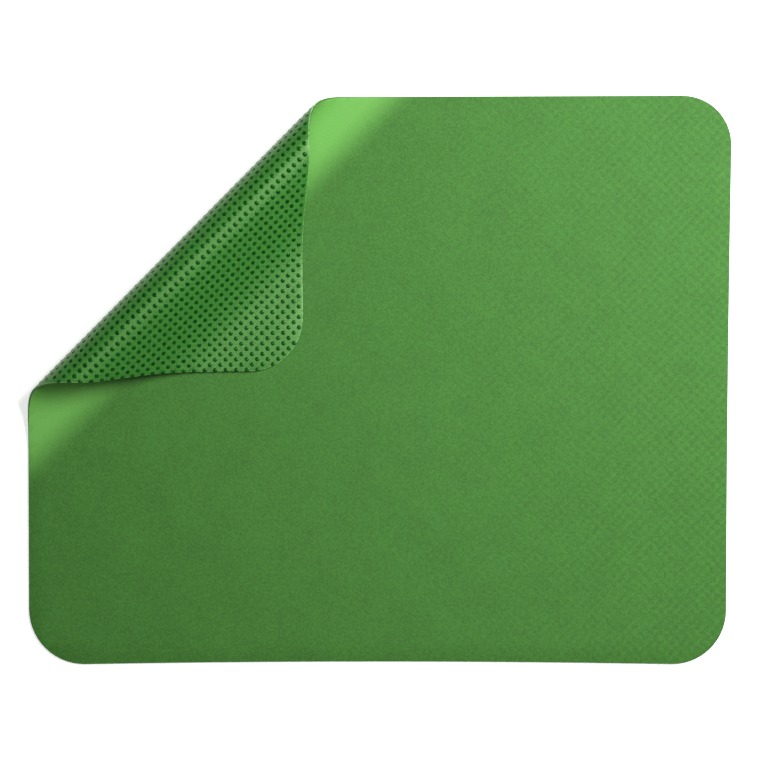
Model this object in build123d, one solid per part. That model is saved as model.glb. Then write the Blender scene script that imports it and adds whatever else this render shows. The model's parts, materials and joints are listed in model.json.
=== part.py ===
"""A thin non-slip cloth mat with one corner folded over, in millimetres.

The mat lies on the XY plane, +Z up, and the crowns of its grip dots touch z = 0.
The origin is under the middle of the mat. The back left corner (-X, +Y) is rolled over
onto the mat. The cloth is cut into narrow strips parallel to the fold, and each strip
turns against its neighbour about the middle of the cloth, so that the corner opens flat.
"""

from build123d import *
import math
import os

# Outline: where the straight sides would meet, corner by corner, and how round each corner is
BACK_LEFT = (-118.9, 95.0)
BACK_RIGHT = (118.8, 95.9)
FRONT_RIGHT = (116.6, -96.1)
FRONT_LEFT = (-118.2, -96.1)
RADIUS_BACK_LEFT = 18.0
RADIUS_BACK_RIGHT = 17.0
RADIUS_FRONT_RIGHT = 18.5
RADIUS_FRONT_LEFT = 19.0
# How far the middle of a side lies inside the line between its corners
BOW_RIGHT = 0.45
BOW_FRONT = 1.25

# Layers, from the table up
DOT_HEIGHT = 0.15
BACKING_THICKNESS = 0.40
FACE_THICKNESS = 0.40
MIDDLE = DOT_HEIGHT + BACKING_THICKNESS

# Grip dots: low cones with a flat crown, in a centred grid. The mat's edge cuts through some.
DOT_DIAMETER = 1.50
CROWN_DIAMETER = 0.70
DOT_SPACING_X = 3.500
DOT_SPACING_Y = 3.545
# The least distance from a dot's centre to the edge
DOT_CENTRE_MARGIN = 0.30
RESTING_DOT_STEP = 16

# Fold: its direction is that of a row of dots, and it starts this far from the origin
FOLD_START = 69.10
STRIP_GAP = 0.30
# One crease after another, from the flat mat to the corner: (turn in degrees, rows to the next).
# The cloth lifts off the table, rolls over, runs down onto the mat and comes level with it.
LIFT = [(16, 2), (15, 1), (14, 1)]
ROLL = [(16, 1), (20, 1), (22, 1), (20, 1), (18, 1), (16, 1), (17, 1)]
DESCENT = [(20, 1), (17, 1), (10, 5)]
LEVELLING = [(-8, 2), (-11, 2), (-14, 2)]
LAST_CREASE = [(-8, None)]
CREASES = LIFT + ROLL + DESCENT + LEVELLING + LAST_CREASE

# A length that passes right across the mat
ACROSS = 400.0

diagonal = math.hypot(DOT_SPACING_X, DOT_SPACING_Y)
along_fold = Vector(DOT_SPACING_X / diagonal, DOT_SPACING_Y / diagonal, 0)
to_corner = Vector(-along_fold.Y, along_fold.X, 0)
fold_angle = math.degrees(math.atan2(along_fold.Y, along_fold.X))
row_pitch = DOT_SPACING_X * DOT_SPACING_Y / diagonal
grid_origin = to_corner * (FOLD_START - row_pitch / 2)


def mat_outline():
    """The whole mat's outline, unfolded, as a flat face on the table."""
    middle_right = (
        (BACK_RIGHT[0] + FRONT_RIGHT[0]) / 2 - BOW_RIGHT,
        (BACK_RIGHT[1] + FRONT_RIGHT[1]) / 2,
    )
    middle_front = (
        (FRONT_RIGHT[0] + FRONT_LEFT[0]) / 2,
        (FRONT_RIGHT[1] + FRONT_LEFT[1]) / 2 + BOW_FRONT,
    )
    outline = make_face(
        Line(FRONT_LEFT, BACK_LEFT)
        + Line(BACK_LEFT, BACK_RIGHT)
        + ThreePointArc(BACK_RIGHT, middle_right, FRONT_RIGHT)
        + ThreePointArc(FRONT_RIGHT, middle_front, FRONT_LEFT)
    )
    for corner, radius in (
        (BACK_LEFT, RADIUS_BACK_LEFT),
        (BACK_RIGHT, RADIUS_BACK_RIGHT),
        (FRONT_RIGHT, RADIUS_FRONT_RIGHT),
        (FRONT_LEFT, RADIUS_FRONT_LEFT),
    ):
        nearest = outline.vertices().sort_by_distance(corner)[0]
        outline = fillet(nearest, radius)
    return outline


def crease_positions():
    """How far each crease is from the origin, towards the corner, on the unfolded mat."""
    positions = [FOLD_START]
    for _, rows in CREASES[:-1]:
        positions.append(positions[-1] + rows * row_pitch)
    return positions


def flat_band(start, end):
    """The stretch of the table between two distances from the origin, towards the corner."""
    middle = to_corner * ((start + end) / 2)
    return Location((middle.X, middle.Y, 0), (0, 0, fold_angle)) * Rectangle(ACROSS, end - start)


def crease_axis(position):
    """The line that the cloth turns about at a crease, on the unfolded mat."""
    point = to_corner * position
    return Axis((point.X, point.Y, MIDDLE), along_fold)


def folded(shape, strip):
    """A shape on the unfolded mat, carried to where its strip lies when the corner is folded."""
    for crease in reversed(range(strip)):
        shape = shape.rotate(crease_axis(positions[crease]), CREASES[crease][0])
    return shape


def crease_line(number):
    """The axis of a crease of the folded mat, numbered from 0."""
    point = folded(Vertex(*crease_axis(positions[number]).position), number)
    return point.center(), along_fold


def layer(outline, bottom, thickness):
    """One layer of cloth, with its underside at a height above the table."""
    return extrude(Pos(0, 0, bottom) * outline, thickness)


def grip_dot():
    """One silicone dot, crown down, with its crown's centre at the origin."""
    return Cone(
        CROWN_DIAMETER / 2,
        DOT_DIAMETER / 2,
        DOT_HEIGHT,
        align=(Align.CENTER, Align.CENTER, Align.MIN),
    ).solid()


def grid_places():
    """Each dot's grid numbers and place on the unfolded mat. Odd pairs are the centres of cells."""
    half_steps_x = int(ACROSS / DOT_SPACING_X)
    half_steps_y = int(ACROSS / DOT_SPACING_Y)
    for i in range(-half_steps_x, half_steps_x + 1):
        for j in range(-half_steps_y, half_steps_y + 1):
            if (i + j) % 2 == 0:
                yield i, j, grid_origin + Vector(i * DOT_SPACING_X / 2, j * DOT_SPACING_Y / 2, 0)


def dots_on(outline):
    """Each dot on the unfolded mat, with its grid numbers and place, cut where it crosses the edge."""
    dot = grip_dot()
    mat = outline.face()
    wire = mat.outer_wire()
    reach = 1.2 * max(RADIUS_FRONT_LEFT, RADIUS_FRONT_RIGHT)
    box = outline.bounding_box()
    for i, j, place in grid_places():
        from_box = min(
            place.X - box.min.X, box.max.X - place.X, place.Y - box.min.Y, box.max.Y - place.Y
        )
        placed = dot.moved(Location((place.X, place.Y, 0)))
        if from_box < reach:
            if not mat.is_inside(place):
                continue
            from_edge, edge, _ = wire.distance_to_with_closest_points(Vertex(*place))
            if from_edge < DOT_CENTRE_MARGIN:
                continue
            if from_edge < DOT_DIAMETER / 2:
                side = Plane(origin=edge, z_dir=edge - place)
                placed = split(placed, bisect_by=side, keep=Keep.BOTTOM).solid()
        yield i, j, place, placed


def write(name, solids):
    """One named piece, or one named group of like pieces, as its own STEP file."""
    group = Compound(solids) if len(solids) > 1 else solids[0]
    group.label = name
    export_step(group, f"parts/{name}.step")


positions = crease_positions()

if __name__ == "__main__":
    os.makedirs("parts", exist_ok=True)
    outline = mat_outline()
    edges = [-ACROSS] + positions + [ACROSS]

    # The cloth: the flat mat is strip 0, the corner's tip is the last
    for strip in range(len(edges) - 1):
        start = edges[strip] + (STRIP_GAP / 2 if strip else 0)
        end = edges[strip + 1] - (STRIP_GAP / 2 if strip < len(positions) else 0)
        shape = outline & flat_band(start, end)
        backing = layer(shape, DOT_HEIGHT, BACKING_THICKNESS)
        face = layer(shape, MIDDLE, FACE_THICKNESS)
        prefix = "mat" if strip == 0 else f"fold_{strip:02d}"
        write(f"{prefix}_backing_cloth", folded(backing, strip).solids())
        write(f"{prefix}_face_cloth", folded(face, strip).solids())

    # The dots: one group for each folded strip, three for the flat mat
    groups = {}
    for i, j, place, dot in dots_on(outline):
        strip = sum(place.dot(to_corner) > position for position in positions)
        if strip:
            name = f"fold_{strip:02d}_grip_dots"
        elif i % RESTING_DOT_STEP == 0 and j % RESTING_DOT_STEP == 0:
            name = "mat_resting_grip_dots"
        else:
            name = "mat_back_grip_dots" if place.Y > 0 else "mat_front_grip_dots"
        groups.setdefault(name, []).append(folded(dot, strip) if strip else dot)
    for name, dots in groups.items():
        write(name, dots)
        print(name, len(dots))
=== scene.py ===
"""A non-slip cloth mat with a rolled-over corner: its two cloths and its grip dots.

Lengths are in metres, in the frame that the mat's design uses: the mat lies on the XY
plane, +Z up, with the crowns of its grip dots on z = 0.
"""

import json
import math
from bisect import bisect_left

import bmesh
import bpy
from bpy.props import FloatProperty, FloatVectorProperty, PointerProperty, StringProperty
from mathutils import Matrix, Vector
from mathutils.kdtree import KDTree


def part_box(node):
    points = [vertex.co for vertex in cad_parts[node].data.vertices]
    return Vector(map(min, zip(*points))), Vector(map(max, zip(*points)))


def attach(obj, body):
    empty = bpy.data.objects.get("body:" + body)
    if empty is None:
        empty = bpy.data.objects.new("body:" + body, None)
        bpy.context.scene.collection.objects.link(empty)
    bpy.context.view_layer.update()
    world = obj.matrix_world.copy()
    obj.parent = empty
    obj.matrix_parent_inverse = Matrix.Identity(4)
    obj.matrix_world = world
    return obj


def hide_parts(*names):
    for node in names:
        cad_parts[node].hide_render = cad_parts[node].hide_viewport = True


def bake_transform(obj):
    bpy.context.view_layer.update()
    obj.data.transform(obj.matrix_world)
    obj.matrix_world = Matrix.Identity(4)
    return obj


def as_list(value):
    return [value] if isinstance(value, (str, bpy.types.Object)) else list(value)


bl_info = {
    "name": "Non-slip cloth mat",
    "version": (1, 0, 0),
    "blender": (4, 5, 0),
    "location": "View3D > Sidebar > Mat",
    "description": "Makes a thin cloth mat with grip dots and a rolled-over corner",
    "category": "Add Mesh",
}

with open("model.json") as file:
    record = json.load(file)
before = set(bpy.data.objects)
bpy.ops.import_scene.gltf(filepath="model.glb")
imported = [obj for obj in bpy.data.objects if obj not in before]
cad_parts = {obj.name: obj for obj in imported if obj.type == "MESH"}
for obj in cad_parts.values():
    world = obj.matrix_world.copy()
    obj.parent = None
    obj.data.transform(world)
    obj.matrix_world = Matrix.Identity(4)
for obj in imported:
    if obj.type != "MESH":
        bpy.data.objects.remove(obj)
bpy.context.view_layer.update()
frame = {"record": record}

MM = 0.001

# The creases, as the frame's joints give them
JOINTS = sorted(frame["record"]["behaviour"]["joints"], key=lambda joint: joint["name"])
BODIES = ["mat"] + [joint["child"] for joint in JOINTS]
CREASE_POINTS = [Vector(joint["pos_m"]) for joint in JOINTS]
TURNS = [math.radians(sum(joint["range_deg"])) for joint in JOINTS]
ALONG_FOLD = -Vector(JOINTS[0]["axis"]).normalized()
TO_CORNER = Vector((-ALONG_FOLD.y, ALONG_FOLD.x, 0))
MIDDLE = CREASE_POINTS[0].z
MAT_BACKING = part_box("mat_backing_cloth")
MAT_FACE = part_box("mat_face_cloth")

# The cloth's own coordinates: each point's place on the unfolded mat
FLAT_PLACE = "flat_place"

# Each crease's turn is spread over this many small turns
SMALL_TURNS = 6

# How finely the cloth's outline and surface are divided, and a distance past its farthest corner
CORNER_SEGMENTS = 14
SIDE_CUTS = 30
FLAT_STEP = 8 * MM
CROSS_STEP = 4 * MM
PAST_THE_MAT = 200 * MM
EDGE_ANGLE = math.radians(35)

# Dots: how far they sink into the cloth, and which rows and columns of the grid are set apart as the resting dots
DOT_SUNK = 0.05 * MM
RESTING_STEP = 16

# How far before the first crease the painted highlight of the rising cloth begins
FOLD_HIGHLIGHT_BEFORE = 12 * MM

# Stage
FLOOR_SIZE = 6.0
FLOOR_GLOW = 0.5
CAMERA_HEIGHT = 0.58
VIEW_WIDTH = 0.256


def crease_places():
    """How far each crease is from the origin, towards the corner, on the unfolded mat."""
    places = [CREASE_POINTS[0].dot(TO_CORNER)]
    for before, after in zip(CREASE_POINTS, CREASE_POINTS[1:]):
        places.append(places[-1] + (after - before).length)
    return places


PLACES = crease_places()


def bend_reach(number):
    """How far each side of a crease its bend reaches: half the narrower strip beside it."""
    widths = [b - a for a, b in zip(PLACES, PLACES[1:])]
    beside = widths[max(number - 1, 0) : number + 1]
    return min(beside) / 2


def small_turns():
    """The places and angles of all the small turns, from the flat mat to the corner."""
    turns = []
    for number, (place, turn) in enumerate(zip(PLACES, TURNS)):
        reach = bend_reach(number)
        for step in range(SMALL_TURNS):
            share = (step + 0.5) / SMALL_TURNS * 2 - 1
            turns.append((place + share * reach, turn / SMALL_TURNS))
    return turns


def turn_about(place, angle):
    """A turn about the line of the cloth's middle at a distance from the origin."""
    point = TO_CORNER * place + Vector((0, 0, MIDDLE))
    return Matrix.Translation(point) @ Matrix.Rotation(angle, 4, ALONG_FOLD) @ Matrix.Translation(-point)


SMALL_TURN_PLACES = [place for place, _ in small_turns()]
FOLDS = [Matrix.Identity(4)]
for turn_place, turn_angle in small_turns():
    FOLDS.append(FOLDS[-1] @ turn_about(turn_place, turn_angle))


def fold_at(place):
    """Carries a point of the unfolded mat, at this distance towards the corner, to the folded one."""
    return FOLDS[bisect_left(SMALL_TURN_PLACES, place - 1e-7)]


class MatSizes(bpy.types.PropertyGroup):
    """The mat's outline and thickness."""

    back_left: FloatVectorProperty(
        name="Back left corner",
        description="Where the sides would meet if the corner were square",
        size=2,
        default=(-118.9 * MM, 95.0 * MM),
        unit="LENGTH",
    )
    back_right: FloatVectorProperty(
        name="Back right corner",
        description="Where the sides would meet if the corner were square",
        size=2,
        default=(118.8 * MM, 95.9 * MM),
        unit="LENGTH",
    )
    front_right: FloatVectorProperty(
        name="Front right corner",
        description="Where the sides would meet if the corner were square",
        size=2,
        default=(116.6 * MM, -96.1 * MM),
        unit="LENGTH",
    )
    front_left: FloatVectorProperty(
        name="Front left corner",
        description="Where the sides would meet if the corner were square",
        size=2,
        default=(-118.2 * MM, -96.1 * MM),
        unit="LENGTH",
    )
    radii: FloatVectorProperty(
        name="Corner radii",
        description="How round the front left, front right, back right and back left corners are",
        size=4,
        default=(19.0 * MM, 18.5 * MM, 17.0 * MM, 18.0 * MM),
        unit="LENGTH",
    )
    bow_right: FloatProperty(
        name="Bow of the right side",
        description="How far the middle of the right side lies inside the line between its corners",
        default=0.45 * MM,
        unit="LENGTH",
    )
    bow_front: FloatProperty(
        name="Bow of the front side",
        description="How far the middle of the front side lies inside the line between its corners",
        default=1.25 * MM,
        unit="LENGTH",
    )
    edge_round: FloatProperty(
        name="Edge rounding",
        description="How much the heat of the cutting die rounds the edge of each cloth",
        default=0.18 * MM,
        unit="LENGTH",
    )


class DotSizes(bpy.types.PropertyGroup):
    """The grip dots and the grid that they are printed in."""

    diameter: FloatProperty(name="Diameter", description="Width of a dot on the cloth", default=1.5 * MM, unit="LENGTH")
    crown: FloatProperty(name="Crown", description="Width of a dot's flat crown", default=0.7 * MM, unit="LENGTH")
    spacing: FloatVectorProperty(
        name="Spacing",
        description="Width and depth of a cell of the centred grid",
        size=2,
        default=(3.5 * MM, 3.545 * MM),
        unit="LENGTH",
    )
    centre_margin: FloatProperty(
        name="Centre margin",
        description="Least distance from a dot's centre to the edge, which cuts through the outermost dots",
        default=0.3 * MM,
        unit="LENGTH",
    )


class MatFinishes(bpy.types.PropertyGroup):
    """Colours, as sRGB hex values."""

    nap_up: StringProperty(name="Nap up", description="Brushed face where its nap stands up", default="3F772C")
    painted_fold_highlight: StringProperty(name="Nap open", description="Brushed face where a bend opens its nap", default="6DB050")
    # Painted highlight: a lighter colour painted on the face where it rises into the fold
    nap_down: StringProperty(name="Nap down", description="Brushed face where its nap lies down", default="336222")
    backing: StringProperty(name="Backing", description="Threads of the backing cloth", default="2E7424")
    backing_gaps: StringProperty(name="Backing gaps", description="Between the backing's threads", default="205A18")
    # Partly the fused fibres' own paler colour, partly a painted highlight along the flap's rim where it catches the
    # light
    cut_backing_and_highlight: StringProperty(name="Cut backing", description="Fused edge of the backing cloth", default="7DB46A")
    cut_face: StringProperty(name="Cut face", description="Fused edge of the face cloth", default="2C5A1E")
    silicone: StringProperty(name="Silicone", description="Clear silicone over green cloth", default="124A14")
    silicone_deep: StringProperty(name="Deep silicone", description="Where the silicone is thickest", default="0A340C")
    floor: StringProperty(name="Floor", description="White acrylic", default="FAFAFA")


def srgb(hex_colour):
    """Linear red, green, blue and alpha of an sRGB hex colour such as 4F8F3F."""
    values = [int(hex_colour[i : i + 2], 16) / 255 for i in (0, 2, 4)]
    return [v / 12.92 if v <= 0.04045 else ((v + 0.055) / 1.055) ** 2.4 for v in values] + [1.0]


def add_node(tree, kind, inputs=None, **settings):
    """A node with its settings, its values and its links."""
    made = tree.nodes.new(kind)
    for name, value in settings.items():
        setattr(made, name, value)
    for name, value in (inputs or {}).items():
        if isinstance(value, bpy.types.NodeSocket):
            tree.links.new(value, made.inputs[name])
        else:
            made.inputs[name].default_value = value
    return made


def per_mm(size):
    """The scale of a pattern whose features are this many millimetres wide, on coordinates in metres."""
    return 1000 / size


def new_material(name):
    """An empty material's tree and its output node."""
    material = bpy.data.materials.new(name)
    material.use_nodes = True
    material.node_tree.nodes.clear()
    return material, material.node_tree, material.node_tree.nodes.new("ShaderNodeOutputMaterial")


def maths(tree, operation, first, second):
    """One operation on two numbers or outputs."""
    return add_node(tree, "ShaderNodeMath", {0: first, 1: second}, operation=operation).outputs[0]


def dot_wave(tree, place, spacing):
    """A wave over the cloth that is 1 at every dot and -1 halfway between neighbours."""
    parts = add_node(tree, "ShaderNodeSeparateXYZ", {"Vector": place})
    across = maths(tree, "COSINE", maths(tree, "MULTIPLY", parts.outputs["X"], math.tau / spacing[0]), 0.0)
    along = maths(tree, "COSINE", maths(tree, "MULTIPLY", parts.outputs["Y"], math.tau / spacing[1]), 0.0)
    return maths(tree, "MULTIPLY", across, along), parts.outputs["X"]


def brushed_microfibre(finishes, spacing):
    """Brushed polyester microfibre knit.

    The nap scatters light in a fine felty grain and lies in cloudy patches. It carries a painted
    highlight where the cloth rises into the fold, and a faint grid of painted shade over the dots, stronger to the
    right.
    """
    material, tree, out = new_material("brushed green microfibre")
    place = add_node(tree, "ShaderNodeAttribute", attribute_name=FLAT_PLACE).outputs["Vector"]
    grain = add_node(
        tree, "ShaderNodeTexNoise", {"Vector": place, "Scale": per_mm(0.7), "Detail": 3.0, "Roughness": 0.65}
    ).outputs["Fac"]
    patches = add_node(
        tree, "ShaderNodeTexNoise", {"Vector": place, "Scale": per_mm(16), "Detail": 5.0, "Roughness": 0.6}
    ).outputs["Fac"]
    # Painted shade: a faint grid of darker colour over the dots, painted stronger towards the right where the light
    # grazes the cloth's slight relief
    wave, to_right = dot_wave(tree, place, spacing)
    painted_grid_strength = add_node(
        tree, "ShaderNodeMapRange", {"Value": to_right, "From Min": 0.0, "From Max": 0.12, "To Min": 0.0, "To Max": 0.08}
    ).outputs["Result"]
    lie = add_node(
        tree, "ShaderNodeMix", {"Factor": 0.8, 2: patches, 3: grain}, data_type="FLOAT"
    ).outputs[0]
    lie = maths(tree, "SUBTRACT", lie, maths(tree, "MULTIPLY", wave, painted_grid_strength))
    colour = add_node(tree, "ShaderNodeValToRGB", {"Fac": lie})
    colour.color_ramp.elements[0].position = 0.35
    colour.color_ramp.elements[0].color = srgb(finishes.nap_down)
    colour.color_ramp.elements[1].position = 0.65
    colour.color_ramp.elements[1].color = srgb(finishes.nap_up)
    from_origin = add_node(
        tree, "ShaderNodeVectorMath", {0: place, 1: TO_CORNER}, operation="DOT_PRODUCT"
    ).outputs["Value"]
    # Painted highlight: the face is painted lighter over the last stretch before the first crease, where the cloth
    # rises into the roll towards the light
    painted_fold_highlight_mask = add_node(
        tree,
        "ShaderNodeMapRange",
        {
            "Value": from_origin,
            "From Min": PLACES[0] - FOLD_HIGHLIGHT_BEFORE,
            "From Max": PLACES[0],
            "To Min": 0.0,
            "To Max": 0.7,
        },
        interpolation_type="SMOOTHSTEP",
    ).outputs["Result"]
    colour = add_node(
        tree,
        "ShaderNodeMix",
        {"Factor": painted_fold_highlight_mask, 6: colour.outputs["Color"], 7: srgb(finishes.painted_fold_highlight)},
        data_type="RGBA",
    ).outputs[2]
    relief = add_node(tree, "ShaderNodeBump", {"Strength": 0.5, "Distance": 0.12 * MM, "Height": grain})
    shader = add_node(
        tree,
        "ShaderNodeBsdfPrincipled",
        {
            "Base Color": colour,
            "Roughness": 0.75,
            "IOR": 1.5,
            "Specular IOR Level": 0.3,
            "Sheen Weight": 0.2,
            "Sheen Roughness": 0.35,
            "Sheen Tint": srgb("CFEFC0"),
            "Normal": relief.outputs["Normal"],
        },
    )
    tree.links.new(shader.outputs[0], out.inputs["Surface"])
    return material


def close_knit(finishes):
    """Close-knit polyester, heat-set: smoother and a little more lustrous than the face."""
    material, tree, out = new_material("green close knit polyester")
    place = add_node(tree, "ShaderNodeAttribute", attribute_name=FLAT_PLACE).outputs["Vector"]
    threads = add_node(
        tree, "ShaderNodeTexNoise", {"Vector": place, "Scale": per_mm(0.5), "Detail": 2.0}
    ).outputs["Fac"]
    colour = add_node(tree, "ShaderNodeValToRGB", {"Fac": threads})
    colour.color_ramp.elements[0].position = 0.35
    colour.color_ramp.elements[0].color = srgb(finishes.backing_gaps)
    colour.color_ramp.elements[1].position = 0.6
    colour.color_ramp.elements[1].color = srgb(finishes.backing)
    relief = add_node(tree, "ShaderNodeBump", {"Strength": 0.4, "Distance": 0.08 * MM, "Height": threads})
    shader = add_node(
        tree,
        "ShaderNodeBsdfPrincipled",
        {
            "Base Color": colour.outputs["Color"],
            "Roughness": 0.52,
            "IOR": 1.5,
            "Specular IOR Level": 1.0,
            "Specular Tint": srgb("DAFFBB"),
            "Normal": relief.outputs["Normal"],
        },
    )
    tree.links.new(shader.outputs[0], out.inputs["Surface"])
    return material


def melted_edge(cloth, threads, fused):
    """Heat-cut polyester: its fibres are fused to a thin rim, a little glossy. The backing cloth's paler rim colour is
    partly a painted highlight.
    """
    material, tree, out = new_material(f"heat cut edge of the {cloth}")
    place = add_node(tree, "ShaderNodeAttribute", attribute_name=FLAT_PLACE).outputs["Vector"]
    beads = add_node(tree, "ShaderNodeTexNoise", {"Vector": place, "Scale": per_mm(0.8), "Detail": 2.0})
    colour = add_node(tree, "ShaderNodeValToRGB", {"Fac": beads.outputs["Fac"]})
    colour.color_ramp.elements[0].position = 0.35
    colour.color_ramp.elements[0].color = srgb(threads)
    colour.color_ramp.elements[1].position = 0.55
    colour.color_ramp.elements[1].color = srgb(fused)
    shader = add_node(
        tree, "ShaderNodeBsdfPrincipled", {"Base Color": colour.outputs["Color"], "Roughness": 0.5, "IOR": 1.5}
    )
    tree.links.new(shader.outputs[0], out.inputs["Surface"])
    return material


def clear_silicone(finishes):
    """Clear silicone rubber, screen printed as droplets: it makes the cloth look wet and dark, and shines."""
    material, tree, out = new_material("clear silicone on green cloth")
    place = add_node(tree, "ShaderNodeTexCoord").outputs["Object"]
    depth = add_node(tree, "ShaderNodeTexNoise", {"Vector": place, "Scale": per_mm(2.5), "Detail": 2.0})
    colour = add_node(tree, "ShaderNodeValToRGB", {"Fac": depth.outputs["Fac"]})
    colour.color_ramp.elements[0].position = 0.35
    colour.color_ramp.elements[0].color = srgb(finishes.silicone_deep)
    colour.color_ramp.elements[1].position = 0.65
    colour.color_ramp.elements[1].color = srgb(finishes.silicone)
    shader = add_node(
        tree,
        "ShaderNodeBsdfPrincipled",
        {
            "Base Color": colour.outputs["Color"],
            "Roughness": 0.25,
            "IOR": 1.41,
            "Specular Tint": srgb("7FD070"),
        },
    )
    tree.links.new(shader.outputs[0], out.inputs["Surface"])
    return material


def white_light_table(finishes):
    """Opal acrylic lit from below, as under a product on a light table: evenly white, with almost no shadow."""
    material, tree, out = new_material("lit opal acrylic")
    place = add_node(tree, "ShaderNodeTexCoord").outputs["Object"]
    cloud = add_node(tree, "ShaderNodeTexNoise", {"Vector": place, "Scale": per_mm(2.0)})
    relief = add_node(
        tree, "ShaderNodeBump", {"Strength": 0.1, "Distance": 0.05 * MM, "Height": cloud.outputs["Fac"]}
    )
    shader = add_node(
        tree,
        "ShaderNodeBsdfPrincipled",
        {
            "Base Color": srgb(finishes.floor),
            "Roughness": 0.9,
            "Emission Color": srgb("FFFFFF"),
            "Emission Strength": FLOOR_GLOW,
            "Normal": relief.outputs["Normal"],
        },
    )
    tree.links.new(shader.outputs[0], out.inputs["Surface"])
    return material


def flat_outline(sizes):
    """The unfolded mat's outline as one flat face at z = 0: rounded corners and two bowed sides."""
    corners = [sizes.front_left, sizes.front_right, sizes.back_right, sizes.back_left]
    bm = bmesh.new()
    marks = [bm.verts.new((x, y, 0)) for x, y in corners]
    bm.faces.new(marks)
    for mark, radius in zip(marks, sizes.radii):
        bmesh.ops.bevel(
            bm,
            geom=[mark],
            offset=radius,
            segments=CORNER_SEGMENTS,
            profile=0.5,
            affect="VERTICES",
            material=-1,
        )
    sides = [edge for edge in bm.edges if edge.calc_length() > sizes.front_right[0]]
    bmesh.ops.subdivide_edges(bm, edges=sides, cuts=SIDE_CUTS)
    for vert in bm.verts:
        right, front = vert.co.x / sizes.front_right[0], vert.co.y / sizes.front_right[1]
        vert.co.x -= sizes.bow_right * max(right, 0) * max(1 - front**2, 0)
        vert.co.y += sizes.bow_front * max(front, 0) * max(1 - right**2, 0)
    return bm


def cut_cloth(sizes, bottom, top):
    """One cloth of the whole mat, unfolded: a thin slab whose rims the hot die has rounded."""
    bm = flat_outline(sizes)
    bmesh.ops.translate(bm, verts=bm.verts[:], vec=(0, 0, bottom))
    raised = bmesh.ops.extrude_face_region(bm, geom=bm.faces[:])["geom"]
    raised = [item for item in raised if isinstance(item, bmesh.types.BMVert)]
    bmesh.ops.translate(bm, verts=raised, vec=(0, 0, top - bottom))
    bmesh.ops.recalc_face_normals(bm, faces=bm.faces[:])
    rims = [edge for edge in bm.edges if abs(edge.verts[0].co.z - edge.verts[1].co.z) < sizes.edge_round]
    bmesh.ops.bevel(
        bm, geom=rims, offset=sizes.edge_round, segments=2, profile=0.5, affect="EDGES", material=-1
    )
    for face in bm.faces:
        face.material_index = 0 if abs(face.normal.z) > 0.99 else 1
    return bm


def cut_lines(bm, direction, places):
    """Cuts every face along parallel lines at distances from the origin."""
    for place in places:
        bmesh.ops.bisect_plane(
            bm,
            geom=bm.verts[:] + bm.edges[:] + bm.faces[:],
            dist=1e-7,
            plane_co=direction * place,
            plane_no=direction,
        )


def steps(low, high, step):
    """Even steps from one place to another."""
    count = round((high - low) / step)
    return [low + (high - low) * number / count for number in range(count + 1)]


def seams():
    """Where the cloth is divided into pieces: before the first bend, midway along each strip, past the last."""
    middles = [(a + b) / 2 for a, b in zip(PLACES, PLACES[1:])]
    return [PLACES[0] - 2 * bend_reach(0), *middles, PLACES[-1] + 2 * bend_reach(len(PLACES) - 1)]


def part_between(cloth, start, end):
    """The part of an unfolded cloth between two distances from the origin, closed at both ends."""
    bm = cloth.copy()
    for place, normal in ((start, -TO_CORNER), (end, TO_CORNER)):
        cut = bmesh.ops.bisect_plane(
            bm,
            geom=bm.verts[:] + bm.edges[:] + bm.faces[:],
            dist=1e-7,
            plane_co=TO_CORNER * place,
            plane_no=normal,
            clear_outer=True,
        )
        open_edges = [edge for edge in cut["geom_cut"] if isinstance(edge, bmesh.types.BMEdge)]
        if open_edges:
            closed = bmesh.ops.holes_fill(bm, edges=open_edges, sides=0)
            for face in closed["faces"]:
                face.material_index = 1
    return bm


def roll_over(bm):
    """Remembers each point's place on the unfolded mat, then carries it to its folded place."""
    flat_place = bm.verts.layers.float_vector.new(FLAT_PLACE)
    lines = {}
    for vert in bm.verts:
        vert[flat_place] = vert.co
        lines.setdefault(bisect_left(SMALL_TURN_PLACES, vert.co.dot(TO_CORNER) - 1e-7), []).append(vert)
    for turn, verts in lines.items():
        bmesh.ops.transform(bm, matrix=FOLDS[turn], verts=verts)


def make_piece(bm, name, materials):
    """A finished piece: smooth surfaces, with creases only at its real edges."""
    mesh = bpy.data.meshes.new(name)
    bm.to_mesh(mesh)
    bm.free()
    mesh.shade_smooth()
    mesh.set_sharp_from_angle(angle=EDGE_ANGLE)
    for material in materials:
        mesh.materials.append(material)
    piece = bpy.data.objects.new(name, mesh)
    bpy.context.collection.objects.link(piece)
    return piece


def bend_with_crease(piece, number):
    """Bakes a piece's transform into its mesh; the directions of the strips either side of its crease are worked out
    but not used.
    """
    reach = bend_reach(number)
    before = fold_at(PLACES[number] - reach).to_3x3() @ TO_CORNER
    after = fold_at(PLACES[number] + reach).to_3x3() @ TO_CORNER
    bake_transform(piece)


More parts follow.
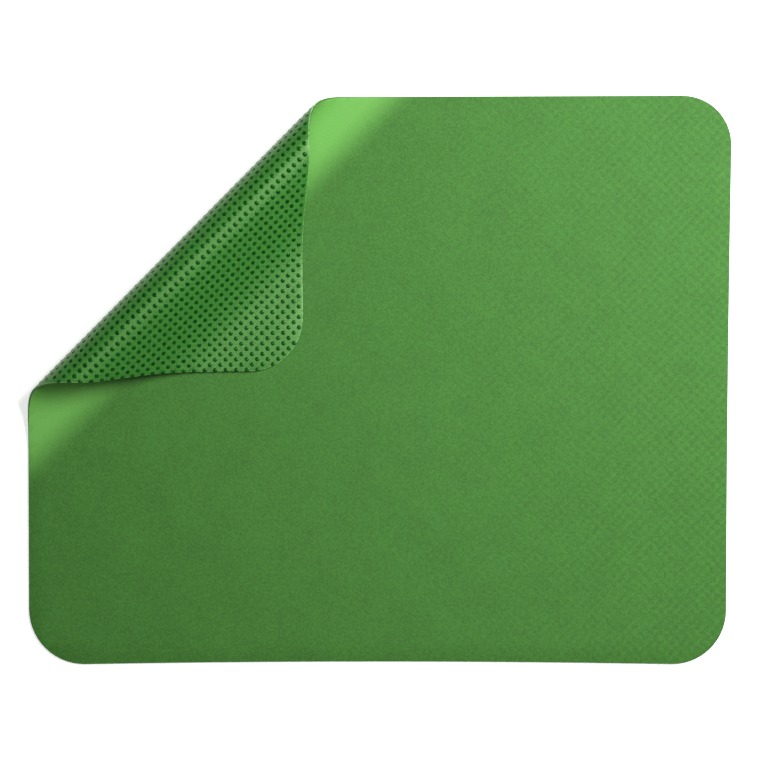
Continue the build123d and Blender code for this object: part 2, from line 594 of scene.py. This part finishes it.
def lay_cloth(kind, box, materials):
    """One cloth of the mat: a flat piece, a folded piece around each crease, and the corner's tip."""
    sizes = bpy.context.scene.mat_sizes
    outline = flat_outline(sizes)
    area = sum(face.calc_area() for face in outline.faces)
    outline.free()
    cloth = cut_cloth(sizes, box[0].z, box[1].z)
    ends = [-PAST_THE_MAT, *seams(), PAST_THE_MAT]
    flat = part_between(cloth, ends[0], ends[1])
    corner = part_between(cloth, ends[1], ends[-1])
    cloth.free()
    for direction in (Vector((1, 0, 0)), Vector((0, 1, 0))):
        cut_lines(flat, direction, steps(-PAST_THE_MAT, PAST_THE_MAT, FLAT_STEP))
    cut_lines(corner, TO_CORNER, SMALL_TURN_PLACES + steps(ends[-2], PAST_THE_MAT, FLAT_STEP))
    cut_lines(corner, ALONG_FOLD, steps(-PAST_THE_MAT, PAST_THE_MAT, CROSS_STEP))
    pieces = []
    for number in range(len(ends) - 1):
        bm = part_between(corner, ends[number], ends[number + 1]) if number else flat
        roll_over(bm)
        body = BODIES[min(number, len(BODIES) - 1)]
        if number == 0:
            piece = make_piece(bm, f"{kind}_flat", materials)
            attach(piece, body)
        elif number == len(ends) - 2:
            piece = make_piece(bm, f"{kind}_tip", materials)
            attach(piece, body)
        else:
            piece = make_piece(bm, f"{kind}_bend_{number:02d}", materials)
            bend_with_crease(piece, number - 1)
        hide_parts(f"{body}_{kind}")
        pieces.append(piece)
    corner.free()
    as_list(pieces[1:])


def droplet(sizes, height, segments, rings):
    """One dot, crown down on z = 0 and sunk a little into the cloth above: a zone of a ball."""
    radius, crown = sizes.diameter / 2, sizes.crown / 2
    centre = (radius**2 + height**2 - crown**2) / (2 * height)
    bm = bmesh.new()
    bmesh.ops.create_uvsphere(bm, u_segments=segments, v_segments=rings, radius=math.hypot(crown, centre))
    bmesh.ops.translate(bm, verts=bm.verts[:], vec=(0, 0, centre))
    for place, normal in ((0, (0, 0, -1)), (height + DOT_SUNK, (0, 0, 1))):
        bmesh.ops.bisect_plane(
            bm,
            geom=bm.verts[:] + bm.edges[:] + bm.faces[:],
            plane_co=(0, 0, place),
            plane_no=normal,
            clear_outer=True,
        )
    bmesh.ops.holes_fill(bm, edges=[edge for edge in bm.edges if edge.is_boundary], sides=0)
    bmesh.ops.recalc_face_normals(bm, faces=bm.faces[:])
    return bm


def outline_sides():
    """The outline's short sides, as a tree of their middles and a list of their outward directions."""
    outline = flat_outline(bpy.context.scene.mat_sizes)
    tree = KDTree(len(outline.edges))
    outward = []
    for number, edge in enumerate(outline.edges):
        a, b = (vert.co for vert in edge.verts)
        across = (b - a).cross(Vector((0, 0, 1))).normalized()
        tree.insert((a + b) / 2, number)
        outward.append(across if across.dot(a) > 0 else -across)
    tree.balance()
    outline.free()
    return tree, outward


def dot_places(sizes):
    """Each dot's grid numbers, its place on the unfolded mat, and the nearest side of the outline."""
    across, deep = sizes.spacing
    corner = TO_CORNER * (PLACES[0] - across * deep / math.hypot(across, deep) / 2)
    tree, outward = outline_sides()
    reach = round(2 * PAST_THE_MAT / min(across, deep))
    for i in range(-reach, reach + 1):
        for j in range(-reach, reach + 1):
            if (i + j) % 2:
                continue
            place = corner + Vector((i * across / 2, j * deep / 2, 0))
            middle, number, _ = tree.find(place)
            inside = (middle - place).dot(outward[number])
            if inside > sizes.centre_margin:
                yield i, j, place, (middle, outward[number]) if inside < sizes.diameter / 2 else None


def cut_dot(template, place, side):
    """A dot in its place, cut where the mat's edge passes through it."""
    middle, outward = side
    bm = template.copy()
    bmesh.ops.translate(bm, verts=bm.verts[:], vec=place)
    bmesh.ops.bisect_plane(
        bm,
        geom=bm.verts[:] + bm.edges[:] + bm.faces[:],
        plane_co=middle,
        plane_no=outward,
        clear_outer=True,
    )
    bmesh.ops.holes_fill(bm, edges=[edge for edge in bm.edges if edge.is_boundary], sides=0)
    return bm


def print_dots(wanted, segments, rings):
    """Makes the wanted groups of dots, each one piece on the body that carries it."""
    sizes = bpy.context.scene.dot_sizes
    template = droplet(sizes, MAT_BACKING[0].z, segments, rings)
    whole = bpy.data.meshes.new("dot")
    template.to_mesh(whole)
    groups = {}
    for i, j, place, side in dot_places(sizes):
        strip = bisect_left(PLACES, place.dot(TO_CORNER))
        if strip:
            group = f"{BODIES[strip]}_grip_dots"
        elif i % RESTING_STEP == 0 and j % RESTING_STEP == 0:
            group = "mat_resting_grip_dots"
        else:
            group = "mat_back_grip_dots" if place.y > 0 else "mat_front_grip_dots"
        if group not in wanted:
            continue
        fold = fold_at(place.dot(TO_CORNER))
        bm = groups.setdefault(group, bmesh.new())
        if side:
            cut = cut_dot(template, place, side)
            bmesh.ops.transform(cut, matrix=fold, verts=cut.verts[:])
            mesh = bpy.data.meshes.new("cut dot")
            cut.to_mesh(mesh)
            cut.free()
            bm.from_mesh(mesh)
            bpy.data.meshes.remove(mesh)
        else:
            move = fold @ Matrix.Translation(place)
            whole.transform(move)
            bm.from_mesh(whole)
            whole.transform(move.inverted())
    template.free()
    bpy.data.meshes.remove(whole)
    materials = [clear_silicone(bpy.context.scene.mat_finishes)]
    for group, bm in groups.items():
        piece = make_piece(bm, f"{group}_domes", materials)
        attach(piece, next(body for body in BODIES if group.startswith(body)))
        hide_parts(group)


class MESH_OT_face_cloth(bpy.types.Operator):
    """Make the brushed face cloth"""

    bl_idname = "mesh.face_cloth"
    bl_label = "Face cloth"

    def execute(self, context):
        finishes = context.scene.mat_finishes
        materials = [
            brushed_microfibre(finishes, context.scene.dot_sizes.spacing),
            melted_edge("face cloth", finishes.nap_down, finishes.cut_face),
        ]
        lay_cloth("face_cloth", MAT_FACE, materials)
        return {"FINISHED"}


class MESH_OT_backing_cloth(bpy.types.Operator):
    """Make the close-knit backing cloth"""

    bl_idname = "mesh.backing_cloth"
    bl_label = "Backing cloth"

    def execute(self, context):
        finishes = context.scene.mat_finishes
        materials = [
            close_knit(finishes),
            melted_edge("backing cloth", finishes.backing, finishes.cut_backing_and_highlight),
        ]
        lay_cloth("backing_cloth", MAT_BACKING, materials)
        return {"FINISHED"}


class MESH_OT_folded_dots(bpy.types.Operator):
    """Make the grip dots of the folded corner"""

    bl_idname = "mesh.folded_dots"
    bl_label = "Dots of the folded corner"

    def execute(self, context):
        print_dots([f"{body}_grip_dots" for body in BODIES[1:]], segments=14, rings=24)
        return {"FINISHED"}


class MESH_OT_flat_dots(bpy.types.Operator):
    """Make the grip dots under the flat mat"""

    bl_idname = "mesh.flat_dots"
    bl_label = "Dots under the flat mat"

    def execute(self, context):
        print_dots([f"mat_{group}_grip_dots" for group in ("resting", "front", "back")], segments=8, rings=16)
        return {"FINISHED"}


def add_light(name, place, aim, size, watts, colour):
    """A square soft light that points at a place."""
    lamp = bpy.data.lights.new(name, "AREA")
    lamp.shape = "SQUARE"
    lamp.size = size
    lamp.energy = watts
    lamp.color = srgb(colour)[:3]
    light = bpy.data.objects.new(name, lamp)
    bpy.context.collection.objects.link(light)
    light.location = place
    light.rotation_euler = (Vector(aim) - Vector(place)).to_track_quat("-Z", "Y").to_euler()


class SCENE_OT_mat_stage(bpy.types.Operator):
    """Make the floor, the soft lights and the overhead camera"""

    bl_idname = "scene.mat_stage"
    bl_label = "Stage"

    def execute(self, context):
        bm = bmesh.new()
        bmesh.ops.create_grid(bm, x_segments=1, y_segments=1, size=FLOOR_SIZE / 2)
        mesh = bpy.data.meshes.new("floor")
        bm.to_mesh(mesh)
        bm.free()
        mesh.materials.append(white_light_table(context.scene.mat_finishes))
        floor = bpy.data.objects.new("floor", mesh)
        context.collection.objects.link(floor)

        add_light("key", (0.24, 0.16, 0.38), (0, 0, 0), 0.20, 3.5, "FFFFFF")
        add_light("overhead", (0.0, 0.0, 1.1), (0, 0, 0), 0.35, 2.6, "FFFFFF")

        world = bpy.data.worlds.new("soft room")
        world.use_nodes = True
        world.node_tree.nodes["Background"].inputs["Color"].default_value = srgb("FFFFFF")
        world.node_tree.nodes["Background"].inputs["Strength"].default_value = 0.08
        context.scene.world = world
        context.scene.view_settings.view_transform = "Standard"

        lens = bpy.data.cameras.new("overhead camera")
        lens.sensor_width = 36
        lens.angle = 2 * math.atan(VIEW_WIDTH / 2 / CAMERA_HEIGHT)
        lens.clip_start = 0.01
        camera = bpy.data.objects.new("overhead camera", lens)
        context.collection.objects.link(camera)
        camera.location = (0, 0, MAT_FACE[1].z + CAMERA_HEIGHT)
        context.scene.camera = camera
        return {"FINISHED"}


class VIEW3D_PT_mat(bpy.types.Panel):
    """Buttons that make the mat's pieces"""

    bl_label = "Non-slip mat"
    bl_idname = "VIEW3D_PT_mat"
    bl_space_type = "VIEW_3D"
    bl_region_type = "UI"
    bl_category = "Mat"

    def draw(self, context):
        for group in (context.scene.mat_sizes, context.scene.dot_sizes, context.scene.mat_finishes):
            box = self.layout.box()
            for name in group.__annotations__:
                box.prop(group, name)
        for operator in OPERATORS:
            self.layout.operator(operator.bl_idname)


OPERATORS = [
    MESH_OT_face_cloth,
    MESH_OT_backing_cloth,
    MESH_OT_folded_dots,
    MESH_OT_flat_dots,
    SCENE_OT_mat_stage,
]
CLASSES = [MatSizes, DotSizes, MatFinishes, *OPERATORS, VIEW3D_PT_mat]


def register():
    for cls in CLASSES:
        bpy.utils.register_class(cls)
    bpy.types.Scene.mat_sizes = PointerProperty(type=MatSizes)
    bpy.types.Scene.dot_sizes = PointerProperty(type=DotSizes)
    bpy.types.Scene.mat_finishes = PointerProperty(type=MatFinishes)


def unregister():
    del bpy.types.Scene.mat_finishes
    del bpy.types.Scene.dot_sizes
    del bpy.types.Scene.mat_sizes
    for cls in reversed(CLASSES):
        bpy.utils.unregister_class(cls)


def main():
    register()
    bpy.ops.scene.mat_stage()
    bpy.ops.mesh.backing_cloth()
    bpy.ops.mesh.face_cloth()
    bpy.ops.mesh.folded_dots()
    bpy.ops.mesh.flat_dots()


if __name__ == "__main__":
    main()
